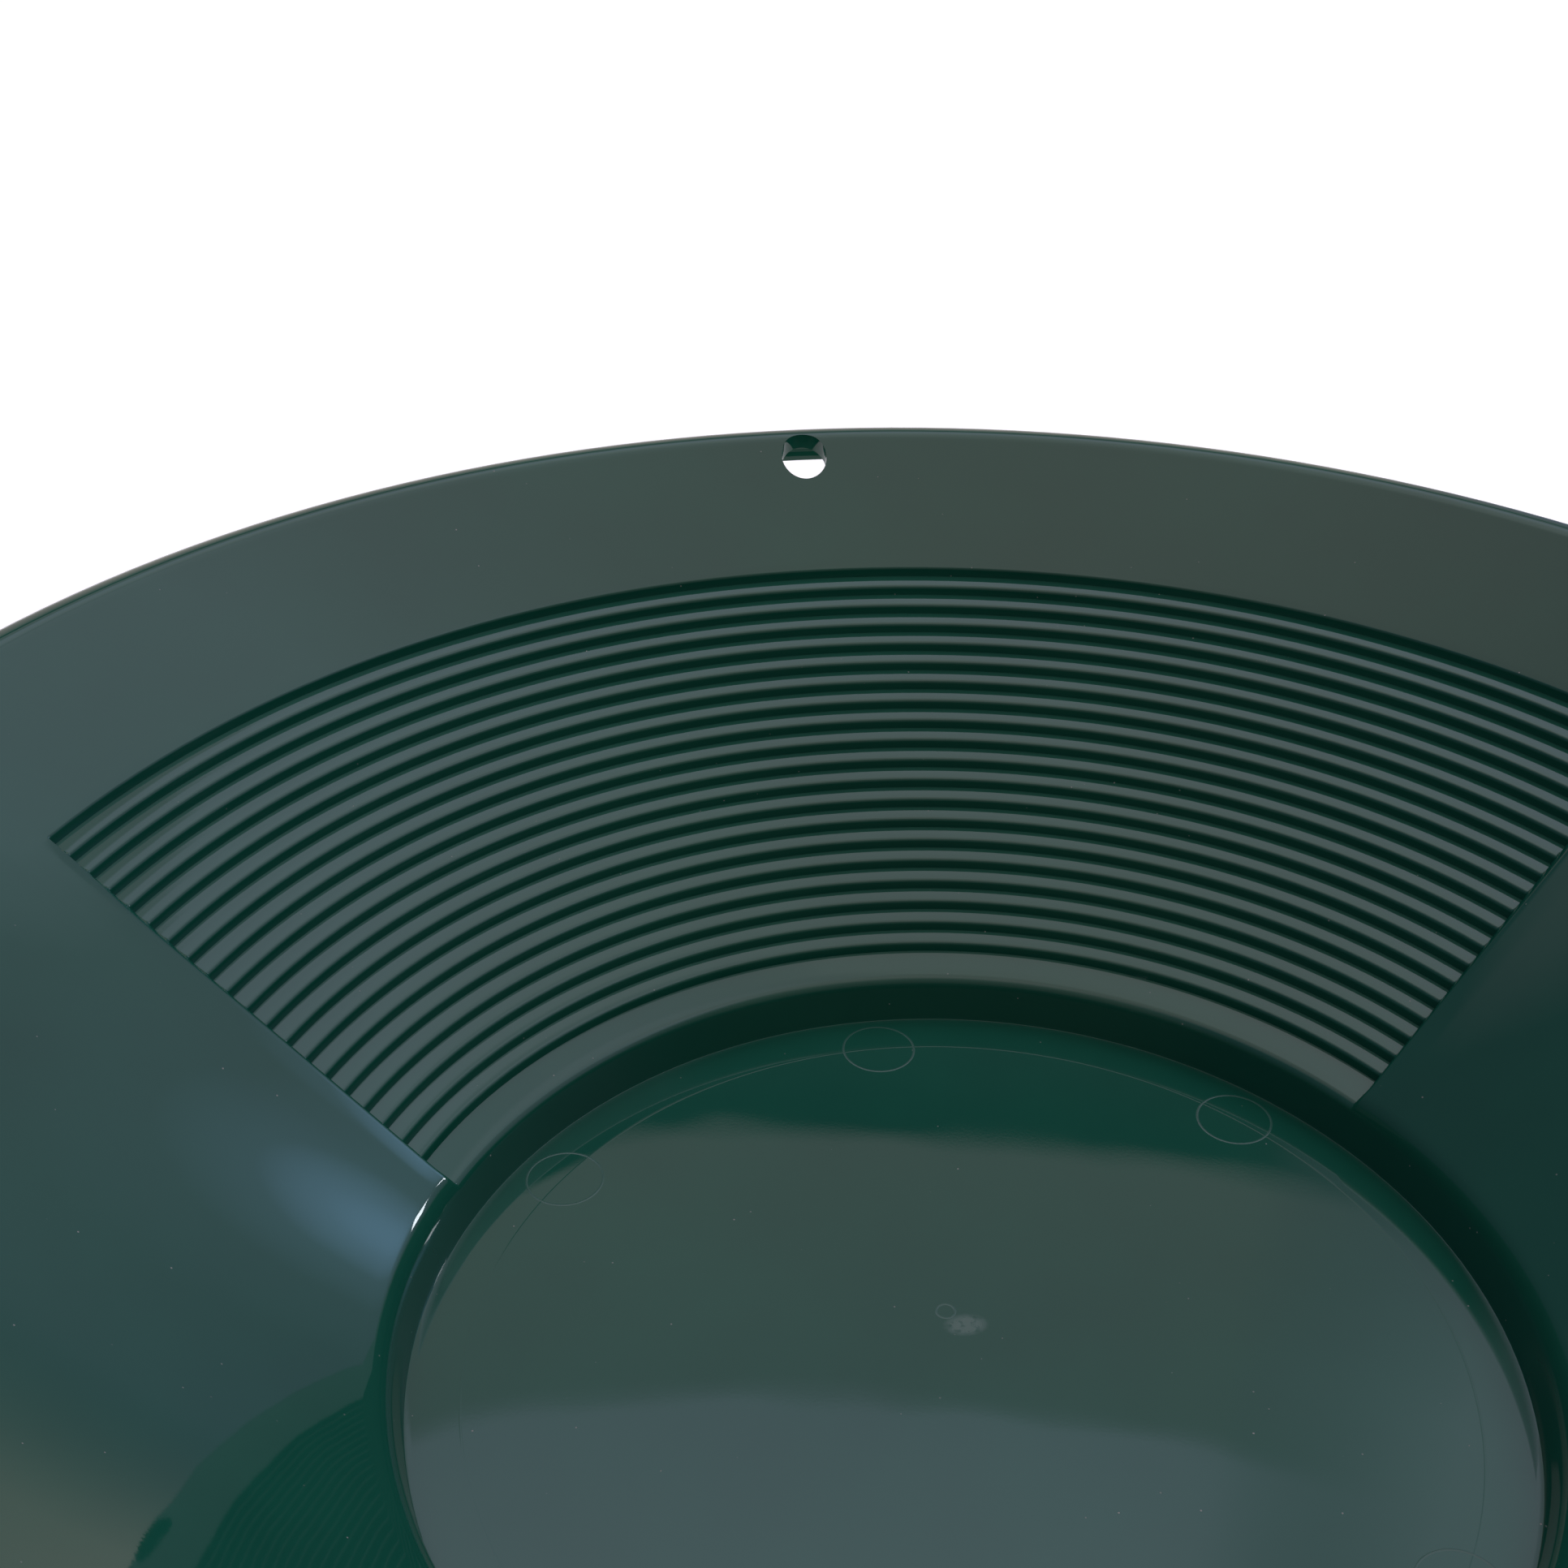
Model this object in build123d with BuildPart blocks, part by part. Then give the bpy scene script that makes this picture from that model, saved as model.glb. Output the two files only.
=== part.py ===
"""Gold pan: one injection-moulded bowl with fine riffles over one sector of its wall.

The frame: the origin is at the middle of the face that the pan rests on, +Z is up, and
+Y runs through the middle of the riffles and through the hanging hole.
"""

import os
from math import atan2, cos, radians, sin, tan

from build123d import *

# Driving dimensions, in millimetres and degrees
WALL = 2.5                  # wall thickness
FLOOR_RADIUS = 80.3         # inside corner between the floor and the steep wall
FLOOR_TOP = 3.3             # upper face of the floor, over its flat middle
FLOOR_EDGE_DROP = 0.3       # how far the floor falls from its witness ring to its edge
RING_RADIUS = 72.5          # witness ring of the mould insert
FOOT_HEIGHT = 0.8           # foot ring under the base
FOOT_INNER_RADIUS = 74.0
HEEL_RADIUS = 2.5           # rounding from the foot ring up to the outside of the wall

# Steep wall beside the floor, and what stands on it
STEEP_DRAFT = 8.5           # angle of the steep wall from upright
SHOULDER_POINT = (86.0, 15.3)   # a point of the smooth wall, just past its shoulder
SHOULDER_ROUND = 3.5
BAND_SLOPE = 15.7           # smooth band between the steep wall and the first riffle
BAND_ROUND = 2.0

# Riffles: corner 0 is the innermost, and each next corner is further out and higher
RIFFLE_COUNT = 20
RIFFLE_SECTOR = 123.0       # angle that the riffles cover, centred on +Y
FIRST_CORNER = (87.63, 12.73)
RIFFLE_RUN = 3.077
RIFFLE_RISE = 2.358
RISER_HEIGHT = 1.6
RISER_LEAN = 0.12           # how far a riser leans back over its height
LIP_ROUND = 0.4
RIFFLE_WALL = 2.0           # wall left behind the riffle corners

# Turned-down rim
RIM_START = (170.4, 75.3)   # where the wall runs into the rim's rounding
RIM_ROUND = 4.87            # outer radius of that rounding
SKIRT_BOTTOM = 69.2         # lower edge of the rim's skirt
REJOIN_SHARE = 0.18         # part of the underside, from the rim, that the riffles leave alone
TOP_SHARE = 0.9             # a place on the wall's arc between the last riffle and the rim

# Hanging hole, with an upright axis
HOLE_DIAMETER = 8.7
HOLE_DISTANCE = 167.4       # from the pan's axis

# Marks that the mould leaves in the floor
PIN_DIAMETER = 12.2
PIN_DEPTH = 0.12
PIN_DISTANCE = 72.4
PIN_ANGLES = (40, 90, 140, 220, 270, 320)
GATE_PLACE = (-1.0, 10.3)
GATE_DIAMETER = 2.8
GATE_HEIGHT = 0.15


def beneath(point, slope, depth):
    """The point at a depth under a surface that rises outwards at a slope in radians."""
    return (point[0] + depth * sin(slope), point[1] - depth * cos(slope))


def meet(point_a, slope_a, point_b, slope_b):
    """Where two lines cross, each given by a point and a slope in radians."""
    rise_a = tan(slope_a)
    rise_b = tan(slope_b)
    r = (point_b[1] - point_a[1] + rise_a * point_a[0] - rise_b * point_b[0]) / (rise_a - rise_b)
    return (r, point_a[1] + rise_a * (r - point_a[0]))


def upright_plane(angle):
    """Plane through the pan's axis, at an angle from +X, with its own Y upwards."""
    turn = radians(angle)
    return Plane((0, 0, 0), x_dir=(cos(turn), sin(turn), 0), z_dir=(sin(turn), -cos(turn), 0))


def corner_at(section, point):
    """The section's own corner nearest to a point given as (distance from axis, height)."""
    return section.vertices().sort_by_distance((point[0], point[1], 0))[0]


# Points of the section, as (distance from axis, height)
steep = radians(90 - STEEP_DRAFT)
band_slope = radians(BAND_SLOPE)
riffle_slope = atan2(RIFFLE_RISE, RIFFLE_RUN)
floor_edge = (FLOOR_RADIUS, FLOOR_TOP - FLOOR_EDGE_DROP)
wall_back = beneath(floor_edge, steep, WALL)
corners = [
    (FIRST_CORNER[0] + i * RIFFLE_RUN, FIRST_CORNER[1] + i * RIFFLE_RISE)
    for i in range(RIFFLE_COUNT)
]
lips = [(r + RISER_LEAN, z + RISER_HEIGHT) for r, z in corners]

# The smooth wall is one long arc that the outermost lip lies on
wall_arc = ThreePointArc(SHOULDER_POINT, lips[-1], RIM_START)


def wall_point(t):
    """Point and slope of the smooth wall at a fraction of its length."""
    place = wall_arc @ t
    way = wall_arc % t
    return (place.X, place.Y), atan2(way.Y, way.X)


top_point, top_slope = wall_point(1.0)
middle_point, middle_slope = wall_point(0.5)
low_point, low_slope = wall_point(0.0)
under_arc = ThreePointArc(
    beneath(top_point, top_slope, WALL),
    beneath(middle_point, middle_slope, WALL),
    beneath(low_point, low_slope, WALL),
)
rim_centre = beneath(RIM_START, top_slope, RIM_ROUND)
rim_outer = rim_centre[0] + RIM_ROUND
rim_top = rim_centre[1] + RIM_ROUND
print("rim diameter", round(2 * rim_outer, 1), "top of rim", round(rim_top, 1))


def rim_arc_middle(radius):
    """Middle of one of the rim's two quarter-like arcs."""
    half = (radians(90) + top_slope) / 2
    return (rim_centre[0] + radius * cos(half), rim_centre[1] + radius * sin(half))


def draw_rim():
    """The rim, from the upper face of the wall round to its underside."""
    skirt_inner = rim_outer - WALL
    ThreePointArc(RIM_START, rim_arc_middle(RIM_ROUND), (rim_outer, rim_centre[1]))
    Polyline(
        (rim_outer, rim_centre[1]),
        (rim_outer, SKIRT_BOTTOM),
        (skirt_inner, SKIRT_BOTTOM),
        (skirt_inner, rim_centre[1]),
    )
    under_start = under_arc @ 0
    ThreePointArc(
        (skirt_inner, rim_centre[1]),
        rim_arc_middle(RIM_ROUND - WALL),
        (under_start.X, under_start.Y),
    )


def draw_base(armpit):
    """The base, from the corner under the wall to the floor's edge inside the bowl."""
    heel = meet(wall_back, steep, (0, 0), 0)
    Polyline(
        armpit,
        heel,
        (FOOT_INNER_RADIUS, 0),
        (FOOT_INNER_RADIUS, FOOT_HEIGHT),
        (0, FOOT_HEIGHT),
        (0, FLOOR_TOP),
        (RING_RADIUS, FLOOR_TOP),
        floor_edge,
    )
    return heel


plain_start = 90 + RIFFLE_SECTOR / 2
riffle_start = 90 - RIFFLE_SECTOR / 2

with BuildPart() as pan:
    # Smooth wall, over the part of the turn without riffles
    shoulder = meet(floor_edge, steep, low_point, low_slope)
    under_end = under_arc @ 1
    under_low = (under_end.X, under_end.Y)
    plain_armpit = meet(wall_back, steep, under_low, low_slope)
    with BuildSketch(upright_plane(plain_start)) as plain_section:
        with BuildLine():
            Polyline(floor_edge, shoulder, SHOULDER_POINT)
            ThreePointArc(SHOULDER_POINT, middle_point, RIM_START)
            draw_rim()
            ThreePointArc(under_arc @ 0, under_arc @ 0.5, under_arc @ 1)
            Line(under_low, plain_armpit)
            heel_point = draw_base(plain_armpit)
        make_face()
        fillet(corner_at(plain_section, shoulder), radius=SHOULDER_ROUND)
        fillet(corner_at(plain_section, plain_armpit), radius=SHOULDER_ROUND)
        fillet(corner_at(plain_section, heel_point), radius=HEEL_RADIUS)
    revolve(axis=Axis.Z, revolution_arc=360 - RIFFLE_SECTOR)

    # Riffled wall: treads that rise outwards, risers that face the axis
    band_foot = meet(floor_edge, steep, FIRST_CORNER, band_slope)
    under_first = beneath(corners[0], riffle_slope, RIFFLE_WALL)
    under_last = beneath(corners[-1], riffle_slope, RIFFLE_WALL)
    band_back = beneath(band_foot, band_slope, WALL)
    band_armpit = meet(wall_back, steep, band_back, band_slope)
    band_knee = meet(under_first, riffle_slope, band_back, band_slope)
    rejoin = under_arc @ REJOIN_SHARE
    with BuildSketch(upright_plane(riffle_start)) as riffle_section:
        with BuildLine():
            Polyline(floor_edge, band_foot, corners[0])
            for corner, lip, next_corner in zip(corners, lips, corners[1:]):
                Polyline(corner, lip, next_corner)
            Line(corners[-1], lips[-1])
            ThreePointArc(lips[-1], wall_arc @ TOP_SHARE, RIM_START)
            draw_rim()
            ThreePointArc(under_arc @ 0, under_arc @ (REJOIN_SHARE / 2), rejoin)
            Polyline((rejoin.X, rejoin.Y), under_last, band_knee, band_armpit)
            heel_point = draw_base(band_armpit)
        make_face()
        lip_corners = [corner_at(riffle_section, lip) for lip in lips]
        fillet(lip_corners, radius=LIP_ROUND)
        fillet(corner_at(riffle_section, band_foot), radius=BAND_ROUND)
        fillet(corner_at(riffle_section, heel_point), radius=HEEL_RADIUS)
    revolve(axis=Axis.Z, revolution_arc=RIFFLE_SECTOR)

    # Hanging hole, straight down through the wall
    with BuildSketch(Plane.XY.offset(rim_top)):
        with Locations((0, HOLE_DISTANCE)):
            Circle(HOLE_DIAMETER / 2)
    extrude(amount=-rim_top / 3, mode=Mode.SUBTRACT)

    # Ejector pins leave shallow round flats, and the gate a small raised nub
    with BuildSketch(Plane.XY.offset(FLOOR_TOP - PIN_DEPTH)):
        for angle in PIN_ANGLES:
            turn = radians(angle)
            with Locations((PIN_DISTANCE * cos(turn), PIN_DISTANCE * sin(turn))):
                Circle(PIN_DIAMETER / 2)
    extrude(amount=PIN_DEPTH * 2, mode=Mode.SUBTRACT)
    with BuildSketch(Plane.XY.offset(FLOOR_TOP)):
        with Locations(GATE_PLACE):
            Circle(GATE_DIAMETER / 2)
    extrude(amount=GATE_HEIGHT)

pan.part.label = "pan"
print("pan volume", round(pan.part.volume / 1000, 1), "cm3")

os.makedirs("parts", exist_ok=True)
export_step(pan.part, "parts/pan.step")
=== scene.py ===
# %% [markdown]
# A gold pan, moulded in one piece in glossy dark green plastic. The whole pan is one closed
# shape: a flat floor, a steep wall beside it, a long sloping wall, and a rim turned down at
# the edge. Twenty small steps, the riffles, cross a third of the wall to catch the gold.
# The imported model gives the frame, and every new piece stands where that model says.

# %% Load the frame
import bmesh
import bpy
from math import acos, asin, atan2, cos, degrees, hypot, pi, radians, sin, sqrt, tan
from mathutils import Matrix, Vector


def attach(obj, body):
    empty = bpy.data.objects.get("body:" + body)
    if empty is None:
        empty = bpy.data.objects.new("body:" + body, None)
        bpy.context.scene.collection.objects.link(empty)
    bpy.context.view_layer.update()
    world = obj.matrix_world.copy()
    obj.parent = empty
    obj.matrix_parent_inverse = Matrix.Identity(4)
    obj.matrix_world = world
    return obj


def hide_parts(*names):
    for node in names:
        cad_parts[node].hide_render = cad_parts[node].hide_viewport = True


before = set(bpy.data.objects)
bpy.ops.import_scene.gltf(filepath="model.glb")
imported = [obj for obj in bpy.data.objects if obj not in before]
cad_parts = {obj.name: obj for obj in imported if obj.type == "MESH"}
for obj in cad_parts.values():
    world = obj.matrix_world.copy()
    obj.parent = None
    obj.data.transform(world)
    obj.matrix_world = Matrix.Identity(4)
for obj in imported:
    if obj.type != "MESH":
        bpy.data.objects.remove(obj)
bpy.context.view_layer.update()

MM = 0.001

# %% [markdown]
# The camera comes first, because it decides how fine each detail has to be. It looks down
# into the bowl from the side opposite the riffles. It is placed by its position and by how
# far it turns, dips and rolls, and a small lens shift moves the picture off the lens's axis.

# %% Camera
CAMERA_PLACE = (-57.93, -207.49, 232.98)     # in millimetres
CAMERA_TURN = radians(8.946)                 # to the right of +Y
CAMERA_DIP = radians(32.597)
CAMERA_ROLL = radians(0.983)
SENSOR_WIDTH = 36
LENS_LENGTH = 48.296
LENS_SHIFT = (-0.0124, 0.0218)


def add_camera():
    """A camera that looks along +Y, turned, dipped and rolled."""
    ahead = Vector((sin(CAMERA_TURN) * cos(CAMERA_DIP), cos(CAMERA_TURN) * cos(CAMERA_DIP),
                    -sin(CAMERA_DIP)))
    level = Vector((cos(CAMERA_TURN), -sin(CAMERA_TURN), 0))
    over = level.cross(ahead)
    right = cos(CAMERA_ROLL) * level + sin(CAMERA_ROLL) * over
    up = cos(CAMERA_ROLL) * over - sin(CAMERA_ROLL) * level
    lens = bpy.data.cameras.new("camera")
    lens.sensor_width = SENSOR_WIDTH
    lens.lens = LENS_LENGTH
    lens.shift_x, lens.shift_y = LENS_SHIFT
    lens.clip_start = 0.01
    lens.clip_end = 50
    camera = bpy.data.objects.new("camera", lens)
    turned = Matrix((right, up, -ahead)).transposed().to_4x4()
    camera.matrix_world = Matrix.Translation(Vector(CAMERA_PLACE) * MM) @ turned
    bpy.context.scene.collection.objects.link(camera)
    bpy.context.scene.camera = camera


add_camera()
bpy.context.scene.view_settings.view_transform = "Standard"
print("camera at", tuple(bpy.context.scene.camera.location))

# %% [markdown]
# The pan is turned from one outline, as on a lathe. The outline is a chain of points, each
# given as distance from the axis and height, in millimetres. Two helpers do most of the
# work: one finds where two lines cross, and one rounds a corner with a short arc.

# %% Helpers for the outline


def beneath(point, slope, depth):
    """The point at a depth under a surface that rises outwards at a slope."""
    return (point[0] + depth * sin(slope), point[1] - depth * cos(slope))


def meet(point_a, slope_a, point_b, slope_b):
    """Where two lines cross, each given by a point and a slope."""
    rise_a = tan(slope_a)
    rise_b = tan(slope_b)
    r = (point_b[1] - point_a[1] + rise_a * point_a[0] - rise_b * point_b[0]) / (rise_a - rise_b)
    return (r, point_a[1] + rise_a * (r - point_a[0]))


def rounded(before, corner, after, radius, steps):
    """Points of the arc that rounds a corner between its two neighbours."""
    a = (Vector(before) - Vector(corner)).normalized()
    b = (Vector(after) - Vector(corner)).normalized()
    half = acos(max(-1, min(1, a.dot(b)))) / 2
    centre = Vector(corner) + (a + b).normalized() * radius / sin(half)
    start = Vector(corner) + a * radius / tan(half) - centre
    sweep = pi - 2 * half
    if a.x * b.y - a.y * b.x > 0:
        sweep = -sweep
    arc = []
    for i in range(steps + 1):
        turn = sweep * i / steps
        x = start.x * cos(turn) - start.y * sin(turn)
        z = start.x * sin(turn) + start.y * cos(turn)
        arc.append((centre.x + x, centre.y + z))
    return arc


def between(start, end, count):
    """Points spaced evenly on a line, without its two ends."""
    return [
        (start[0] + (end[0] - start[0]) * i / (count + 1),
         start[1] + (end[1] - start[1]) * i / (count + 1))
        for i in range(1, count + 1)
    ]


# %% Sizes of the outline
WALL = 2.5                       # thickness of the wall
FLOOR_RADIUS = 80.3              # corner between the floor and the steep wall
FLOOR_TOP = 3.3                  # upper face of the floor
FLOOR_EDGE_DROP = 0.14           # how far the floor falls from its witness ring to its edge
FLOOR_CORNER_ROUND = 0.06
HUB_RADIUS = 60.0                # the outline starts and ends here, and flat faces fill the rest
RING_RADIUS = 72.5               # witness ring, a fine ridge that the mould leaves
RIDGE_HALF = 0.2                 # half the width of that ridge
RIDGE_RISE = 0.01
FOOT_HEIGHT = 0.8                # foot ring under the base
FOOT_INNER_RADIUS = 74.0
FOOT_ROUND = 0.3
HEEL_RADIUS = 2.5                # rounding from the foot ring up to the outside of the wall
STEEP = radians(90 - 8.5)        # slope of the steep wall
SHOULDER_POINT = (86.0, 15.3)    # a point of the smooth wall, just past its shoulder
SHOULDER_ROUND = 6.5
BAND_SLOPE = radians(15.7)       # smooth band between the steep wall and the first riffle
BAND_ROUND = 2.0
RIFFLE_COUNT = 20
RIFFLE_SECTOR = 123.0            # degrees that the riffles cover, centred on +Y
FIRST_CORNER = (87.63, 12.73)    # foot of the innermost riser
RIFFLE_RUN = 3.077
RIFFLE_RISE = 2.358
RISER_HEIGHT = 1.68
RISER_LEAN = 0.12                # how far a riser leans back over its height
LIP_ROUND = 0.7
LAST_TREAD = 3.0                 # stretch of smooth wall that the last lip rounds into
RIFFLE_WALL = 2.0                # wall left behind the feet of the risers
REJOIN_RADIUS = 154.8            # where the back of the riffles meets the smooth back
KNEE_ROUND = 5.0                 # where that back bends towards the steep wall
ARMPIT_ROUND = 0.8               # where it meets the back of the steep wall
RIM_START = (170.4, 75.3)        # where the wall runs into the rim's rounding
RIM_ROUND = 4.87                 # outer radius of that rounding
SKIRT_BOTTOM = 68.95             # lower edge of the rim's turned-down skirt
SKIRT_ROUND_OUT = 0.5
SKIRT_ROUND_IN = 0.25

riffle_slope = atan2(RIFFLE_RISE, RIFFLE_RUN)
corners = [
    (FIRST_CORNER[0] + i * RIFFLE_RUN, FIRST_CORNER[1] + i * RIFFLE_RISE)
    for i in range(RIFFLE_COUNT)
]
lips = [(r + RISER_LEAN, z + RISER_HEIGHT) for r, z in corners]
print("riffles from", corners[0], "to", lips[-1])

# %% [markdown]
# The smooth wall is one long, barely curved arc through three points: just past its
# shoulder, on the outermost lip, and where the rim begins. The underside is the same arc,
# one wall thickness deeper.

# %% The long arc of the wall


def circle_through(a, b, c):
    """Centre and radius of the circle through three points."""
    ax, ay = b[0] - a[0], b[1] - a[1]
    bx, by = c[0] - a[0], c[1] - a[1]
    cross = 2 * (ax * by - ay * bx)
    ux = (by * (ax * ax + ay * ay) - ay * (bx * bx + by * by)) / cross
    uy = (ax * (bx * bx + by * by) - bx * (ax * ax + ay * ay)) / cross
    return (a[0] + ux, a[1] + uy), hypot(ux, uy)


wall_centre, wall_radius = circle_through(SHOULDER_POINT, lips[-1], RIM_START)


def wall_slope(r):
    """Slope of the smooth wall at a distance from the axis."""
    return asin((wall_centre[0] - max(r, SHOULDER_POINT[0])) / wall_radius)


def wall_height(r, depth=0.0):
    """Height of the smooth wall, or of the arc at a depth under it."""
    if r < SHOULDER_POINT[0] + depth * sin(wall_slope(0)):
        low = beneath(SHOULDER_POINT, wall_slope(0), depth)
        return low[1] + (r - low[0]) * tan(wall_slope(0))
    radius = wall_radius - depth
    return wall_centre[1] + sqrt(radius ** 2 - (r - wall_centre[0]) ** 2)


print("wall arc radius", round(wall_radius), "slopes", round(degrees(wall_slope(0)), 1),
      round(degrees(wall_slope(RIM_START[0])), 1))

# %% [markdown]
# Three outlines share the same number of points: the smooth wall, the riffled wall, and a
# panel that runs over the tops of the riffles. Each point of one outline has its partner in
# the others, so the pan can change from one to the next as it goes round.

# %% Floor and steep wall
floor_edge = (FLOOR_RADIUS, FLOOR_TOP - FLOOR_EDGE_DROP)
shoulder = meet(floor_edge, STEEP, SHOULDER_POINT, wall_slope(0))
band_foot = meet(floor_edge, STEEP, FIRST_CORNER, BAND_SLOPE)


def lip_line(r):
    """Height of the panel that runs over the riffles' lips."""
    return lips[0][1] + (r - lips[0][0]) * tan(riffle_slope)


def floor_height(r):
    """The floor is flat inside the witness ring and falls away softly outside it."""
    past = max(0.0, (r - RING_RADIUS) / (FLOOR_RADIUS - RING_RADIUS))
    return FLOOR_TOP - FLOOR_EDGE_DROP * past ** 1.6


def floor_outline():
    """The floor from near its middle to its edge, with the fine ridge of the witness ring."""
    points = [(HUB_RADIUS, FLOOR_TOP), (70.5, FLOOR_TOP)]
    for across, rise in ((-1, 0), (-0.5, 0.6), (0, 1), (0.5, 0.6), (1, 0)):
        points.append((RING_RADIUS + across * RIDGE_HALF, FLOOR_TOP + rise * RIDGE_RISE))
    points += [(r, floor_height(r)) for r in (73.8, 75.2, 76.6, 78.0, 79.2)]
    top = (FLOOR_RADIUS + 1.0, floor_edge[1] + 1.0 * tan(STEEP))
    points += rounded(points[-1], floor_edge, top, FLOOR_CORNER_ROUND, 3)
    return points


def steep_outline(kind):
    """From the floor's edge over the shoulder or the smooth band, up to the first corner."""
    if kind == "plain":
        crown = rounded(floor_edge, shoulder, SHOULDER_POINT, SHOULDER_ROUND, 8)
    else:
        crown = rounded(floor_edge, band_foot, FIRST_CORNER, BAND_ROUND, 8)
    low = (FLOOR_RADIUS + 0.5 / tan(STEEP), floor_edge[1] + 0.5)
    points = [low] + between(low, crown[0], 4) + crown
    for share in (0.3, 0.55, 0.8):
        r = crown[-1][0] + (FIRST_CORNER[0] - crown[-1][0]) * share
        if kind == "plain":
            points.append((r, wall_height(r)))
        else:
            band = FIRST_CORNER[1] + (r - FIRST_CORNER[0]) * tan(BAND_SLOPE)
            points.append((r, max(band, lip_line(r)) if kind == "panel" else band))
    return points


print("floor and steep wall", len(floor_outline()) + len(steep_outline("plain")), "points")

# %% Riffles


def riffle_outline(kind):
    """The steps, or in the other outlines the same points on the smooth line."""
    points = []
    for i in range(RIFFLE_COUNT):
        if i + 1 < RIFFLE_COUNT:
            after = corners[i + 1]
        else:
            after = (lips[i][0] + LAST_TREAD, wall_height(lips[i][0] + LAST_TREAD))
        points.append(corners[i])
        points += rounded(corners[i], lips[i], after, LIP_ROUND, 6)
        points.append(between(points[-1], after, 1)[0])
    if kind == "plain":
        return [(r, wall_height(r)) for r, z in points]
    if kind == "panel":
        return [(r, min(lip_line(r), wall_height(r))) for r, z in points]
    return points


print("riffles", len(riffle_outline("riffled")), "points")

# %% Rim
rim_slope = wall_slope(RIM_START[0])
rim_centre = beneath(RIM_START, rim_slope, RIM_ROUND)
rim_outer = rim_centre[0] + RIM_ROUND
skirt_inner = rim_outer - WALL


def rim_arc(radius, steps):
    """The rim's turn from the wall's slope to upright, at one radius."""
    turns = [pi / 2 + rim_slope - (pi / 2 + rim_slope) * i / steps for i in range(steps + 1)]
    return [(rim_centre[0] + radius * cos(t), rim_centre[1] + radius * sin(t)) for t in turns]


def rim_outline():
    """The upper wall, the rounded rim, the skirt with its soft lower edge, and back inside."""
    start = lips[-1][0]
    points = []
    for share in (0.1, 0.25, 0.4, 0.55, 0.7, 0.84, 0.93, 0.98):
        r = start + (RIM_START[0] - start) * share
        points.append((r, wall_height(r)))
    points += rim_arc(RIM_ROUND, 12)
    foot_out = (rim_outer, SKIRT_BOTTOM)
    foot_in = (skirt_inner, SKIRT_BOTTOM)
    points += rounded(points[-1], foot_out, foot_in, SKIRT_ROUND_OUT, 4)
    points += rounded(foot_out, foot_in, (skirt_inner, rim_centre[1]), SKIRT_ROUND_IN, 3)
    points += rim_arc(RIM_ROUND - WALL, 7)[::-1]
    return points


print("rim diameter", round(2 * rim_outer, 1), "mm")

# %% Underside


def underside_outline(kind):
    """From the rim down the back of the wall, round the heel and under the base."""
    back = beneath(floor_edge, STEEP, WALL)
    first = beneath(corners[0], riffle_slope, RIFFLE_WALL)
    last = beneath(corners[-1], riffle_slope, RIFFLE_WALL)
    band_back = beneath(band_foot, BAND_SLOPE, WALL)
    armpit = meet(back, STEEP, band_back, BAND_SLOPE)
    knee = meet(first, riffle_slope, band_back, BAND_SLOPE)
    rejoin = (REJOIN_RADIUS, wall_height(REJOIN_RADIUS, WALL))
    points = [(r, wall_height(r, WALL)) for r in (168.0, 162.0)] + [rejoin]
    slope = between(rejoin, last, 3) + [last] + between(last, knee, 10)
    slope += rounded(last, knee, armpit, KNEE_ROUND, 3)
    if kind == "plain":
        slope = [(r, wall_height(r, WALL)) for r, z in slope]
        armpit = meet(back, STEEP, beneath(SHOULDER_POINT, wall_slope(0), WALL), wall_slope(0))
        slope += rounded(slope[-1], armpit, back, SHOULDER_ROUND, 5)
    else:
        slope += rounded(knee, armpit, back, ARMPIT_ROUND, 5)
    heel = meet(back, STEEP, (0, 0), 0)
    foot = (FOOT_INNER_RADIUS, 0)
    inside = (FOOT_INNER_RADIUS, FOOT_HEIGHT)
    points += slope + between(slope[-1], heel, 2)[:1]
    points += rounded(armpit, heel, foot, HEEL_RADIUS, 6)
    points += rounded(heel, foot, inside, FOOT_ROUND, 2)
    points += rounded(foot, inside, (HUB_RADIUS, FOOT_HEIGHT), FOOT_ROUND, 2)
    points.append((HUB_RADIUS, FOOT_HEIGHT))
    return points


def outline(kind):
    """One whole outline of the pan, from its floor round to under its base."""
    return (floor_outline() + steep_outline(kind) + riffle_outline(kind) + rim_outline()
            + underside_outline(kind))


plain = outline("plain")
panel = outline("panel")
riffled = outline("riffled")
print("outline points", len(plain), len(panel), len(riffled))

# %% [markdown]
# The outline is spun about the axis in several turns, because the ends of the riffles need
# finer steps than the rest: first the riffled sector, then a soft strip, the smooth part of
# the pan, and the strip at the other end. Each vertex remembers its place on the outline, so
# afterwards it can be moved from the smooth outline to the riffled one.

# %% Spin the pan
END_WALL = 0.13       # degrees over which the steps drop away at their ends
END_EDGE = 0.08       # a narrow strip of the steps that keeps their shading even
EDGE_ROLL = 0.8       # degrees over which the wall rolls down to the panel
SOFT_STRIP = 2.2      # degrees over which the wall already leans softly towards it
SOFT_SHARE = 0.16     # part of the whole step that the soft lean takes
sector_start = 90 - RIFFLE_SECTOR / 2
smooth_part = 360 - RIFFLE_SECTOR - 2 * (END_WALL + EDGE_ROLL + SOFT_STRIP)
TURNS = (
    (END_EDGE, 1),
    (RIFFLE_SECTOR - 2 * END_EDGE, 62),
    (END_EDGE, 1),
    (END_WALL, 1),
    (EDGE_ROLL, 7),
    (SOFT_STRIP, 8),
    (smooth_part, 114),
    (SOFT_STRIP, 8),
    (EDGE_ROLL, 7),
    (END_WALL, 1),
)


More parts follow.
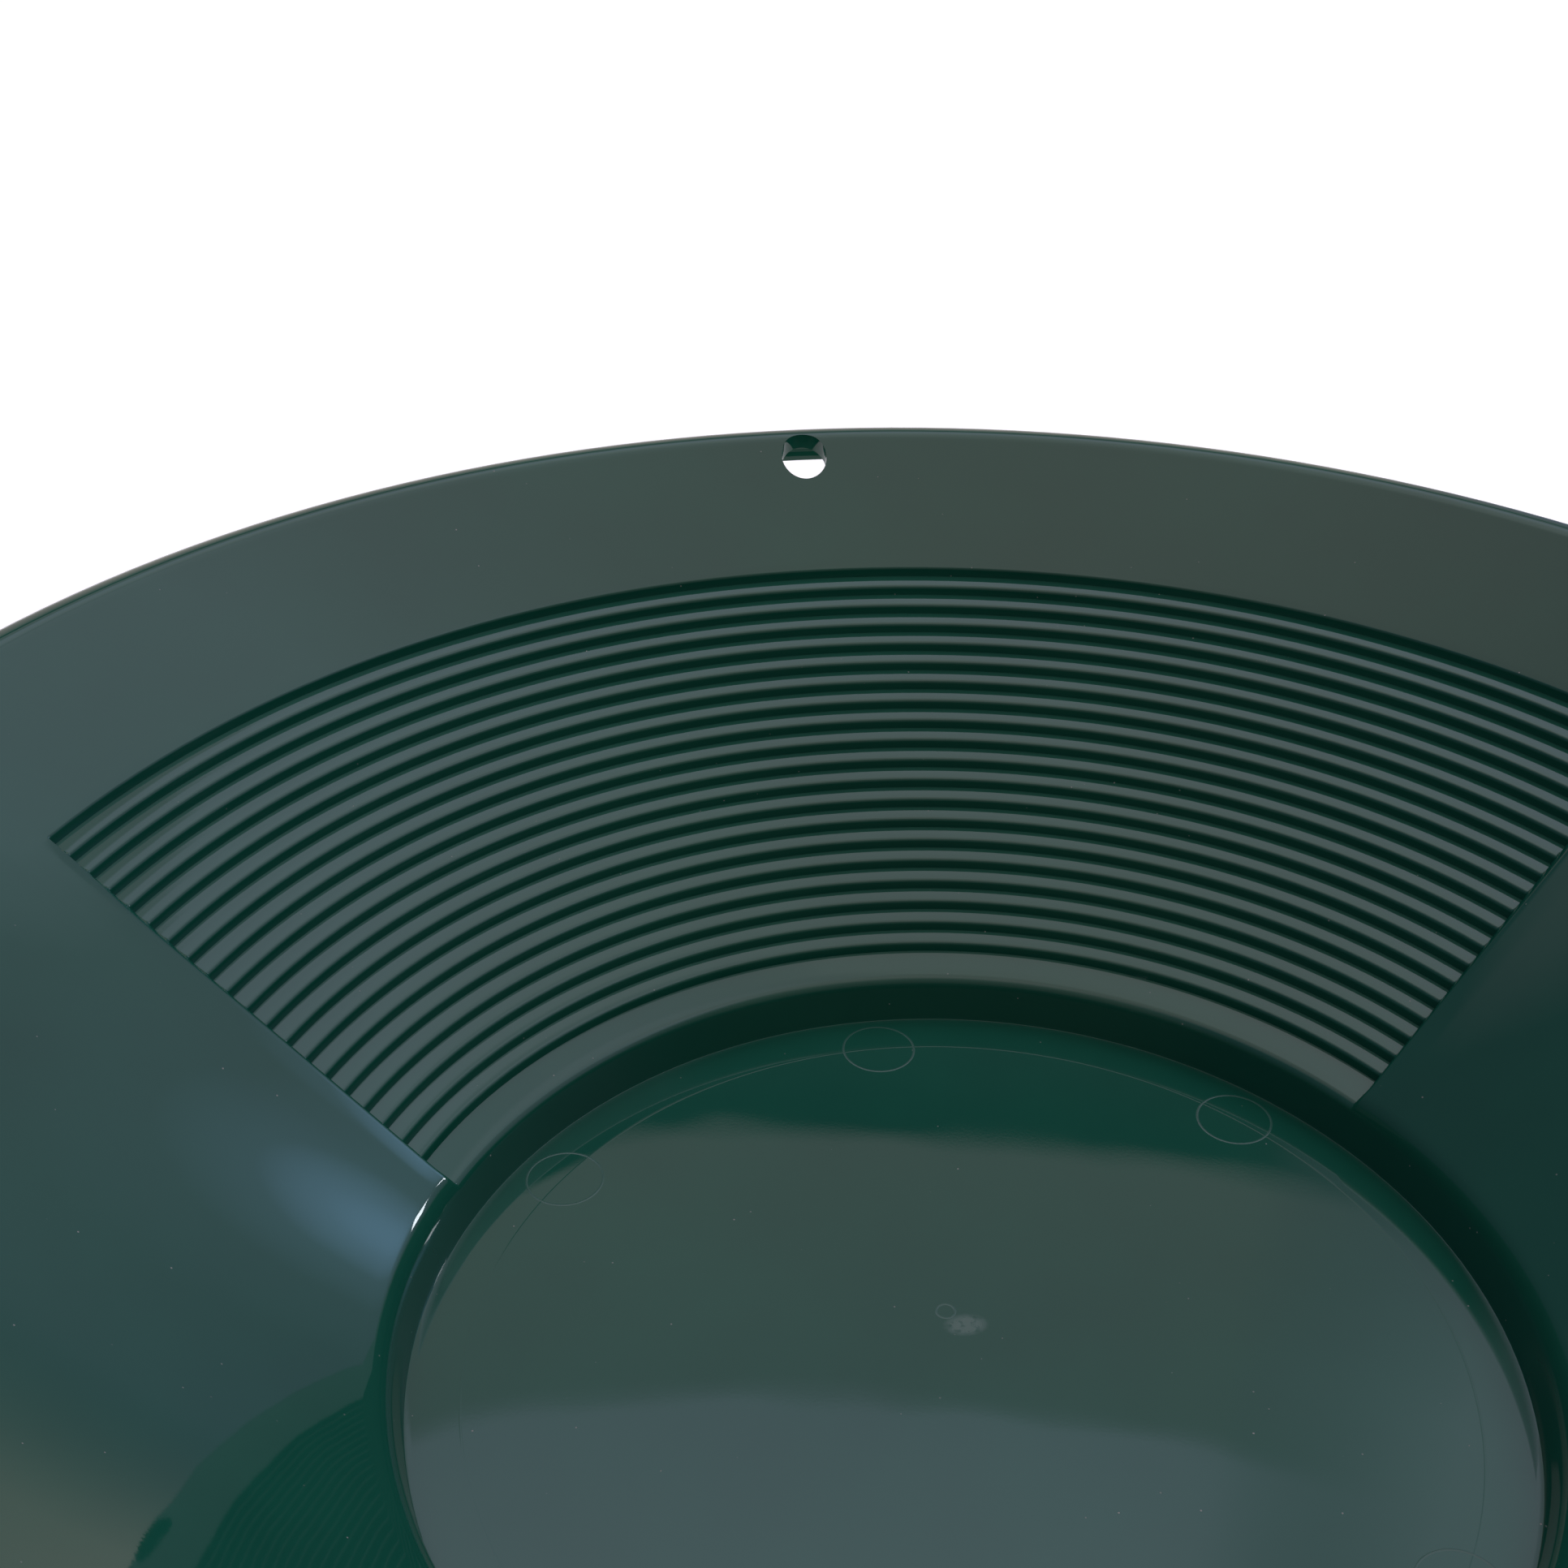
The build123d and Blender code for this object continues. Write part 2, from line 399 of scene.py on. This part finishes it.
def spin_outline(points, start):
    """Spin a chain of points about the axis, turn by turn."""
    bm = bmesh.new()
    place = bm.verts.layers.int.new("place")
    chain = []
    for i, (r, z) in enumerate(points):
        vert = bm.verts.new((r * cos(start) * MM, r * sin(start) * MM, z * MM))
        vert[place] = i
        chain.append(vert)
    edges = [bm.edges.new(pair) for pair in zip(chain, chain[1:])]
    ring = chain + edges
    for angle, steps in TURNS:
        made = bmesh.ops.spin(bm, geom=ring, cent=(0, 0, 0), axis=(0, 0, 1), dvec=(0, 0, 0),
                              angle=radians(angle), steps=steps, use_duplicate=False)
        ring = [item for item in made["geom_last"] if not isinstance(item, bmesh.types.BMFace)]
    bmesh.ops.remove_doubles(bm, verts=bm.verts, dist=0.002 * MM)
    return bm


bm = spin_outline(plain, radians(sector_start))
print("spun", len(bm.verts), "vertices,", len(bm.faces), "faces")

# %% Shape the riffled sector


def shape_sector(bm):
    """Move each vertex from the smooth outline towards the panel and the riffles."""
    place = bm.verts.layers.int["place"]
    for vert in bm.verts:
        i = vert[place]
        turn = atan2(vert.co.y, vert.co.x)
        past = abs(degrees(turn) - 90)
        past = min(past, 360 - past) - RIFFLE_SECTOR / 2
        to_steps = 1 - max(0.0, min(1.0, past / END_WALL))
        roll = 1 - max(0.0, min(1.0, (past - END_WALL) / EDGE_ROLL))
        lean = 1 - max(0.0, min(1.0, (past - END_WALL) / (EDGE_ROLL + SOFT_STRIP)))
        to_panel = SOFT_SHARE * lean ** 1.5 + (1 - SOFT_SHARE) * roll ** 2
        point = Vector(plain[i]).lerp(Vector(panel[i]), to_panel)
        point = point.lerp(Vector(riffled[i]), to_steps)
        vert.co = (point.x * cos(turn) * MM, point.x * sin(turn) * MM, point.y * MM)


shape_sector(bm)
print("highest point", round(max(vert.co.z for vert in bm.verts) / MM, 2), "mm")

# %% Close the floor and the base
open_edges = [edge for edge in bm.edges if len(edge.link_faces) == 1]
bmesh.ops.holes_fill(bm, edges=open_edges, sides=0)
bmesh.ops.recalc_face_normals(bm, faces=bm.faces)
print("open edges left", sum(1 for edge in bm.edges if not edge.is_manifold))

# %% Shade the pan
SHARP_ANGLE = radians(38)


def is_ring_foot(vert):
    """Whether a vertex lies at the foot of the fine ridge round the floor."""
    place = vert.co / MM
    away = abs(hypot(place.x, place.y) - RING_RADIUS) - RIDGE_HALF
    return place.z > FLOOR_TOP / 2 and abs(away) < 0.02


def set_shading(bm):
    """Smooth faces, with a crisp line wherever two faces meet at a clear angle."""
    for face in bm.faces:
        face.smooth = True
    for edge in bm.edges:
        edge.smooth = len(edge.link_faces) == 2 and edge.calc_face_angle() < SHARP_ANGLE
        if all(is_ring_foot(vert) for vert in edge.verts):
            edge.smooth = False


def as_object(bm, name):
    """Turn a bmesh into an object in the scene."""
    mesh = bpy.data.meshes.new(name)
    bm.to_mesh(mesh)
    bm.free()
    item = bpy.data.objects.new(name, mesh)
    bpy.context.scene.collection.objects.link(item)
    return item


set_shading(bm)
pan = as_object(bm, "gold_pan")
print("pan size", tuple(round(side / MM, 1) for side in pan.dimensions))

# %% [markdown]
# The hanging hole goes straight down through the wall beside the rim. A Boolean cuts it with
# an upright cylinder, and its result is kept as the mesh.

# %% Hanging hole
HOLE_RADIUS = 4.35
HOLE_DISTANCE = 167.4
CUTTER_LENGTH = 30.0
CUTTER_MIDDLE = 72.0      # height of the cutter's middle


def boolean(item, tool, operation):
    """Join or cut one object with another, and keep only the result."""
    step = item.modifiers.new(operation, "BOOLEAN")
    step.operation = operation
    step.solver = "EXACT"
    step.object = tool
    bpy.context.view_layer.update()
    result = bpy.data.meshes.new_from_object(item.evaluated_get(
        bpy.context.evaluated_depsgraph_get()))
    item.modifiers.remove(step)
    item.data = result
    bpy.data.objects.remove(tool)


def hole_cutter():
    """An upright cylinder through the wall."""
    bm = bmesh.new()
    bmesh.ops.create_cone(bm, cap_ends=True, segments=64, radius1=HOLE_RADIUS * MM,
                          radius2=HOLE_RADIUS * MM, depth=CUTTER_LENGTH * MM)
    bmesh.ops.translate(bm, verts=bm.verts, vec=(0, HOLE_DISTANCE * MM, CUTTER_MIDDLE * MM))
    return as_object(bm, "hole_cutter")


boolean(pan, hole_cutter(), "DIFFERENCE")
print("after the hole", len(pan.data.polygons), "faces")

# %% [markdown]
# Ejector pins push the moulding out of its mould, and each leaves a fine ring on the floor.
# The gate, where the plastic came in, leaves a smaller ring near the middle.

# %% Pin rings and gate
PIN_RADIUS = 6.1
PIN_DISTANCE = 72.4
PIN_ANGLES = (40, 90, 140, 220, 270, 320)
GATE_PLACE = (-1.0, 10.3)
GATE_RADIUS = 1.4
BEAD_WIDTH = 0.5
BEAD_HEIGHT = 0.03
BEAD_SUNK = 0.004      # how far the feet of a ring's rounded top lie under the floor
BEAD_ROOT = 0.3        # how deep a ring reaches into the floor, so that the two join
RINGS = [
    (PIN_DISTANCE * cos(radians(angle)), PIN_DISTANCE * sin(radians(angle)), PIN_RADIUS)
    for angle in PIN_ANGLES
] + [GATE_PLACE + (GATE_RADIUS,)]


def bead_ring(bm, x, y, radius):
    """A low ring with a soft rounded top, laid on the floor round one place."""
    chain = [(radius - BEAD_WIDTH / 2, -BEAD_ROOT)]
    for i in range(9):
        across = i / 8 - 0.5
        rise = (BEAD_HEIGHT + BEAD_SUNK) * cos(pi * across) ** 2 - BEAD_SUNK
        chain.append((radius + BEAD_WIDTH * across, rise))
    chain.append((radius + BEAD_WIDTH / 2, -BEAD_ROOT))
    verts = [bm.verts.new(((x + r) * MM, y * MM, z * MM)) for r, z in chain]
    edges = [bm.edges.new(pair) for pair in zip(verts, verts[1:] + verts[:1])]
    bmesh.ops.spin(bm, geom=verts + edges, cent=(x * MM, y * MM, 0), axis=(0, 0, 1),
                   dvec=(0, 0, 0), angle=2 * pi, steps=72, use_merge=True,
                   use_duplicate=False)


def floor_marks():
    """All the fine rings on the floor, as one tool that follows the floor's height."""
    bm = bmesh.new()
    for x, y, radius in RINGS:
        bead_ring(bm, x, y, radius)
    bmesh.ops.remove_doubles(bm, verts=bm.verts, dist=0.001 * MM)
    bmesh.ops.recalc_face_normals(bm, faces=bm.faces)
    for vert in bm.verts:
        vert.co.z += floor_height(hypot(vert.co.x, vert.co.y) / MM) * MM
    for face in bm.faces:
        face.smooth = True
    return as_object(bm, "floor_marks")


print("rings on the floor", len(RINGS))

# %% Join the rings to the floor


def is_mark(face):
    """Whether a face of the floor lies on one of the rings."""
    place = face.calc_center_median() / MM
    if place.z < FLOOR_TOP / 2 or hypot(place.x, place.y) > FLOOR_RADIUS:
        return False
    return any(
        abs(hypot(place.x - x, place.y - y) - radius) < BEAD_WIDTH / 2
        for x, y, radius in RINGS
    )


boolean(pan, floor_marks(), "UNION")
bm = bmesh.new()
bm.from_mesh(pan.data)
set_shading(bm)
mark = bm.faces.layers.float.new("mark")
for face in bm.faces:
    face[mark] = float(is_mark(face))
for edge in bm.edges:
    if sum(face[mark] for face in edge.link_faces) == 1:
        edge.smooth = False
print("faces on the rings", sum(face[mark] > 0 for face in bm.faces))
bm.to_mesh(pan.data)
bm.free()
print("after the marks", len(pan.data.polygons), "faces")

# %% [markdown]
# The plastic is deep green and glossy. Its colour hardly varies, and what makes it look real
# is its skin: a faint waviness from the mould, a few dust specks, and gloss that is a little
# uneven. All patterns read Object coordinates, so they stay put on the pan.

# %% Helpers for materials


def node(tree, kind, **inputs):
    """Add a node and set the values of its inputs by name."""
    made = tree.nodes.new(kind)
    for name, value in inputs.items():
        made.inputs[name.replace("_", " ")].default_value = value
    return made


def vector_step(tree, operation, first, second=(0, 0, 0)):
    """One step of vector arithmetic, with a plain value as its second input."""
    step = tree.nodes.new("ShaderNodeVectorMath")
    step.operation = operation
    tree.links.new(first, step.inputs[0])
    step.inputs[1].default_value = second
    return step


def patch_mask(tree, where, centre, half_size):
    """1 in the middle of an oval patch and 0 outside it, from the place on the pan."""
    moved = vector_step(tree, "SUBTRACT", where, Vector(centre) * MM)
    scaled = vector_step(tree, "DIVIDE", moved.outputs["Vector"], Vector(half_size) * MM)
    length = vector_step(tree, "LENGTH", scaled.outputs["Vector"])
    fade = node(tree, "ShaderNodeMapRange", From_Min=1.0, From_Max=0.45)
    tree.links.new(length.outputs["Value"], fade.inputs["Value"])
    return fade.outputs["Result"]


def multiply(tree, a, b):
    """The product of two values."""
    product = tree.nodes.new("ShaderNodeMath")
    product.operation = "MULTIPLY"
    tree.links.new(a, product.inputs[0])
    tree.links.new(b, product.inputs[1])
    return product.outputs["Value"]


def blend(tree, amount, first, second, data_type="RGBA"):
    """Mix two colours or two values, of which the second is a plain value."""
    mix = tree.nodes.new("ShaderNodeMix")
    mix.data_type = data_type
    sockets = [socket for socket in mix.inputs if socket.enabled]
    tree.links.new(amount, sockets[0])
    tree.links.new(first, sockets[1])
    sockets[2].default_value = second
    return [socket for socket in mix.outputs if socket.enabled][0]


# %% Marks and skin of the plastic
# Middle and half sizes of the smear beside the gate, in millimetres
SMEAR_PLACE = (1.4, 7.2, 3.3)
SMEAR_SIZE = (3.6, 2.3, 2.0)


def gate_smear(tree, where):
    """The pale scuffed smear that the gate leaves on the floor."""
    scratches = node(tree, "ShaderNodeTexNoise", Scale=900.0, Detail=4.0)
    tree.links.new(where, scratches.inputs["Vector"])
    rough_part = node(tree, "ShaderNodeMapRange", From_Min=0.30, From_Max=0.52)
    tree.links.new(scratches.outputs["Fac"], rough_part.inputs["Value"])
    patch = patch_mask(tree, where, SMEAR_PLACE, SMEAR_SIZE)
    return multiply(tree, patch, rough_part.outputs["Result"])


def dust_specks(tree, where):
    """Tiny dots at the middles of random cells, and only in some of the cells."""
    cells = node(tree, "ShaderNodeTexVoronoi", Scale=270.0)
    tree.links.new(where, cells.inputs["Vector"])
    dot = node(tree, "ShaderNodeMapRange", From_Min=0.045, From_Max=0.03)
    tree.links.new(cells.outputs["Distance"], dot.inputs["Value"])
    chance = tree.nodes.new("ShaderNodeSeparateColor")
    tree.links.new(cells.outputs["Color"], chance.inputs["Color"])
    chosen = node(tree, "ShaderNodeMapRange", From_Min=0.45, From_Max=1.0)
    tree.links.new(chance.outputs["Red"], chosen.inputs["Value"])
    return multiply(tree, dot.outputs["Result"], chosen.outputs["Result"])


def moulded_skin(tree, where):
    """Two kinds of unevenness: the wide waves of the mould and a fine skin."""
    waves = node(tree, "ShaderNodeTexNoise", Scale=38.0, Detail=1.0)
    tree.links.new(where, waves.inputs["Vector"])
    wavy = node(tree, "ShaderNodeBump", Strength=1.0, Distance=0.00006)
    tree.links.new(waves.outputs["Fac"], wavy.inputs["Height"])
    skin = node(tree, "ShaderNodeTexNoise", Scale=1900.0, Detail=2.0)
    tree.links.new(where, skin.inputs["Vector"])
    bump = node(tree, "ShaderNodeBump", Strength=0.03, Distance=0.00002)
    tree.links.new(skin.outputs["Fac"], bump.inputs["Height"])
    tree.links.new(wavy.outputs["Normal"], bump.inputs["Normal"])
    return bump.outputs["Normal"]


# %% Glossy green plastic
DEEP_GREEN = (0.0060, 0.076, 0.049, 1)
LIGHTER_GREEN = (0.0074, 0.090, 0.057, 1)
SMEAR_GREEN = (0.085, 0.160, 0.130, 1)
# Painted highlight: the faces of the fine rings get a paler green that stands in for the light
# their raised edges catch
PAINTED_RING_HIGHLIGHT = (0.028, 0.105, 0.078, 1)
DUST_GREY = (0.30, 0.31, 0.29, 1)
SMEAR_ROUGHNESS = 0.45
MARK_ROUGHNESS = 0.22
DUST_ROUGHNESS = 0.9


def green_plastic():
    """Deep green moulded plastic with a glossy, slightly uneven skin."""
    material = bpy.data.materials.new("green_plastic")
    material.use_nodes = True
    tree = material.node_tree
    links = tree.links
    shader = tree.nodes["Principled BSDF"]
    shader.inputs["IOR"].default_value = 1.5
    where = tree.nodes.new("ShaderNodeTexCoord").outputs["Object"]

    cloud = node(tree, "ShaderNodeTexNoise", Scale=22.0, Detail=4.0, Roughness=0.6)
    links.new(where, cloud.inputs["Vector"])
    greens = tree.nodes.new("ShaderNodeValToRGB")
    greens.color_ramp.elements[0].position = 0.3
    greens.color_ramp.elements[0].color = DEEP_GREEN
    greens.color_ramp.elements[1].position = 0.7
    greens.color_ramp.elements[1].color = LIGHTER_GREEN
    links.new(cloud.outputs["Fac"], greens.inputs["Fac"])
    haze = node(tree, "ShaderNodeMapRange", To_Min=0.015, To_Max=0.035)
    links.new(cloud.outputs["Fac"], haze.inputs["Value"])

    smear = gate_smear(tree, where)
    dust = dust_specks(tree, where)
    rings = tree.nodes.new("ShaderNodeAttribute")
    rings.attribute_name = "mark"
    on_ring = rings.outputs["Fac"]

    colour = blend(tree, smear, greens.outputs["Color"], SMEAR_GREEN)
    # The rings' paler green is a painted highlight, for the light that their raised edges catch
    colour = blend(tree, on_ring, colour, PAINTED_RING_HIGHLIGHT)
    colour = blend(tree, dust, colour, DUST_GREY)
    links.new(colour, shader.inputs["Base Color"])
    gloss = blend(tree, smear, haze.outputs["Result"], SMEAR_ROUGHNESS, "FLOAT")
    gloss = blend(tree, on_ring, gloss, MARK_ROUGHNESS, "FLOAT")
    gloss = blend(tree, dust, gloss, DUST_ROUGHNESS, "FLOAT")
    links.new(gloss, shader.inputs["Roughness"])
    links.new(moulded_skin(tree, where), shader.inputs["Normal"])
    return material


pan.data.materials.clear()
pan.data.materials.append(green_plastic())
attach(pan, "root")
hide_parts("pan")
print("material", pan.data.materials[0].name)

# %% [markdown]
# A glossy thing shows the room it stands in, so the room decides the look. This one has a
# bright ceiling, a darker far wall below it, a pale window side at the right, a shaded side
# at the left and a dark near side. Each side is a colour ramp that runs from the horizon to
# straight up, and one more ramp, read by compass direction, says which side is seen where.

# %% Colours of the room
# Each stop is an elevation in degrees and the light that comes from there
FAR_SIDE = (
    (0, (0.95, 0.82, 0.78)),
    (25, (0.75, 0.66, 0.64)),
    (35, (0.50, 0.46, 0.46)),
    (37.5, (0.10, 0.13, 0.14)),
    (40.9, (0.03, 0.04, 0.05)),
    (41.1, (0.66, 0.60, 0.64)),
    (47.8, (0.66, 0.62, 0.72)),
    (48.2, (1.04, 1.04, 1.34)),
    (52, (1.22, 1.24, 1.54)),
    (58, (1.26, 1.24, 1.38)),
    (72, (1.20, 1.12, 1.15)),
    (90, (1.04, 0.89, 0.91)),
)
WINDOW_SIDE = (
    (0, (0.02, 0.04, 0.20)),
    (3.5, (0.06, 0.08, 0.26)),
    (6, (0.24, 0.22, 0.40)),
    (35, (0.58, 0.50, 0.68)),
    (41, (0.68, 0.62, 0.82)),
    (46, (1.00, 1.05, 1.30)),
    (60, (1.18, 1.15, 1.38)),
    (90, (1.04, 0.89, 0.91)),
)
NEAR_SIDE = (
    (0, (0.16, 0.15, 0.15)),
    (30, (0.24, 0.22, 0.22)),
    (52, (0.42, 0.38, 0.38)),
    (64, (0.85, 0.76, 0.77)),
    (74, (1.10, 0.98, 1.00)),
    (90, (1.04, 0.89, 0.91)),
)
SHADED_SIDE = (
    (0, (0.04, 0.05, 0.09)),
    (35, (0.12, 0.10, 0.18)),
    (51, (0.15, 0.11, 0.20)),
    (56, (0.40, 0.33, 0.44)),
    (67, (0.75, 0.60, 0.66)),
    (90, (1.04, 0.89, 0.91)),
)
# Compass direction in degrees to the right of +Y, then how much of the far, window and
# near sides; what is left belongs to the shaded side
COMPASS = (
    (-180, (0, 0, 1)),
    (-140, (0, 0, 1)),
    (-115, (0, 0, 0)),
    (-32, (0, 0, 0)),
    (-12, (1, 0, 0)),
    (25, (1, 0, 0)),
    (34, (0, 1, 0)),
    (112, (0, 1, 0)),
    (140, (0, 0, 1)),
    (180, (0, 0, 1)),
)

# A soft patch of daylight on the right, beside the window. Each stop is an angle from its
# middle and the light that comes from there
GLOW_TURN = 58.5
GLOW_RISE = 26
GLOW = (
    (0, (0.85, 1.60, 2.60)),
    (3, (0.62, 1.15, 1.85)),
    (6, (0.22, 0.40, 0.60)),
    (10, (0.06, 0.10, 0.14)),
    (16, (0.0, 0.0, 0.0)),
)
print("stops of the far side", len(FAR_SIDE), "and of the compass", len(COMPASS))

# %% Room light


def compass_way(turn, rise):
    """Direction given by degrees to the right of +Y and degrees above the horizon."""
    turn, rise = radians(turn), radians(rise)
    return Vector((sin(turn) * cos(rise), cos(turn) * cos(rise), sin(rise)))


def fill_ramp(ramp, stops):
    """Give a colour ramp its stops, as positions from 0 to 1 with colours."""
    elements = ramp.color_ramp.elements
    while len(elements) < len(stops):
        elements.new(0.5)
    for element, (position, colour) in zip(elements, stops):
        element.position = position
        element.color = (*colour, 1)


def room_sides(tree, parts):
    """The colours of the four sides, mixed by compass direction."""
    links = tree.links
    sides = []
    for stops in (SHADED_SIDE, FAR_SIDE, WINDOW_SIDE, NEAR_SIDE):
        ramp = tree.nodes.new("ShaderNodeValToRGB")
        fill_ramp(ramp, [(sin(radians(rise)), colour) for rise, colour in stops])
        links.new(parts.outputs["Z"], ramp.inputs["Fac"])
        sides.append(ramp.outputs["Color"])

    compass = tree.nodes.new("ShaderNodeMath")
    compass.operation = "ARCTAN2"
    links.new(parts.outputs["X"], compass.inputs[0])
    links.new(parts.outputs["Y"], compass.inputs[1])
    share = node(tree, "ShaderNodeMapRange", From_Min=-pi, From_Max=pi)
    links.new(compass.outputs["Value"], share.inputs["Value"])
    which = tree.nodes.new("ShaderNodeValToRGB")
    fill_ramp(which, [((turn + 180) / 360, shares) for turn, shares in COMPASS])
    links.new(share.outputs["Result"], which.inputs["Fac"])
    amounts = tree.nodes.new("ShaderNodeSeparateColor")
    links.new(which.outputs["Color"], amounts.inputs["Color"])

    seen = sides[0]
    for side, amount in zip(sides[1:], ("Red", "Green", "Blue")):
        mix = tree.nodes.new("ShaderNodeMix")
        mix.data_type = "RGBA"
        links.new(amounts.outputs[amount], mix.inputs["Factor"])
        links.new(seen, mix.inputs["A"])
        links.new(side, mix.inputs["B"])
        seen = mix.outputs["Result"]
    return seen


def daylight_patch(tree, way):
    """The soft patch of daylight, by the angle from its middle."""
    nearness = vector_step(tree, "DOT_PRODUCT", way, compass_way(GLOW_TURN, GLOW_RISE))
    edge = cos(radians(GLOW[-1][0]))
    inside = node(tree, "ShaderNodeMapRange", From_Min=edge)
    tree.links.new(nearness.outputs["Value"], inside.inputs["Value"])
    glow = tree.nodes.new("ShaderNodeValToRGB")
    fill_ramp(glow, [((cos(radians(away)) - edge) / (1 - edge), colour)
                     for away, colour in GLOW[::-1]])
    tree.links.new(inside.outputs["Result"], glow.inputs["Fac"])
    return glow.outputs["Color"]


def light_room():
    """A world with four sides that meet under a bright ceiling, and the patch of daylight."""
    world = bpy.data.worlds.new("room")
    bpy.context.scene.world = world
    world.use_nodes = True
    tree = world.node_tree
    way = tree.nodes.new("ShaderNodeTexCoord").outputs["Generated"]
    parts = tree.nodes.new("ShaderNodeSeparateXYZ")
    tree.links.new(way, parts.inputs["Vector"])
    both = tree.nodes.new("ShaderNodeMix")
    both.data_type = "RGBA"
    both.blend_type = "ADD"
    both.inputs["Factor"].default_value = 1.0
    tree.links.new(room_sides(tree, parts), both.inputs["A"])
    tree.links.new(daylight_patch(tree, way), both.inputs["B"])
    tree.links.new(both.outputs["Result"], tree.nodes["Background"].inputs["Color"])


light_room()
print("world", bpy.context.scene.world.name)

# %% Window pane
WINDOW_TURN = 63.5
WINDOW_RISE = 23.5
WINDOW_DISTANCE = 1.5         # in metres, like its width and height
WINDOW_WIDTH = 0.09
WINDOW_HEIGHT = 0.12
WINDOW_RADIANCE = 19.0
WINDOW_COLOUR = (0.85, 0.93, 1.0)


def add_window():
    """A bright pane that faces the pan, placed by its compass direction and elevation."""
    light = bpy.data.lights.new("window", "AREA")
    light.shape = "RECTANGLE"
    light.size = WINDOW_WIDTH
    light.size_y = WINDOW_HEIGHT
    light.energy = WINDOW_RADIANCE * pi * WINDOW_WIDTH * WINDOW_HEIGHT
    light.color = WINDOW_COLOUR
    item = bpy.data.objects.new("window", light)
    way = compass_way(WINDOW_TURN, WINDOW_RISE)
    item.location = way * WINDOW_DISTANCE
    item.rotation_euler = way.to_track_quat("Z", "Y").to_euler()
    item.visible_camera = False
    bpy.context.scene.collection.objects.link(item)
    print("window power", round(light.energy, 2), "W")


add_window()

# %% Floor under the pan
GROUND_SIZE = 6.0             # in metres
GROUND_DROP = 0.02            # in millimetres, so that the foot ring stands just clear of it


def add_floor():
    """A plain pale floor, with a little light of its own so that it stays white."""
    bm = bmesh.new()
    bmesh.ops.create_grid(bm, x_segments=1, y_segments=1, size=GROUND_SIZE)
    bmesh.ops.translate(bm, verts=bm.verts, vec=(0, 0, -GROUND_DROP * MM))
    ground = as_object(bm, "floor")
    material = bpy.data.materials.new("pale_floor")
    material.use_nodes = True
    shader = material.node_tree.nodes["Principled BSDF"]
    shader.inputs["Base Color"].default_value = (0.9, 0.9, 0.9, 1)
    shader.inputs["Roughness"].default_value = 0.9
    shader.inputs["Emission Color"].default_value = (1, 1, 1, 1)
    shader.inputs["Emission Strength"].default_value = 0.55
    ground.data.materials.append(material)


add_floor()
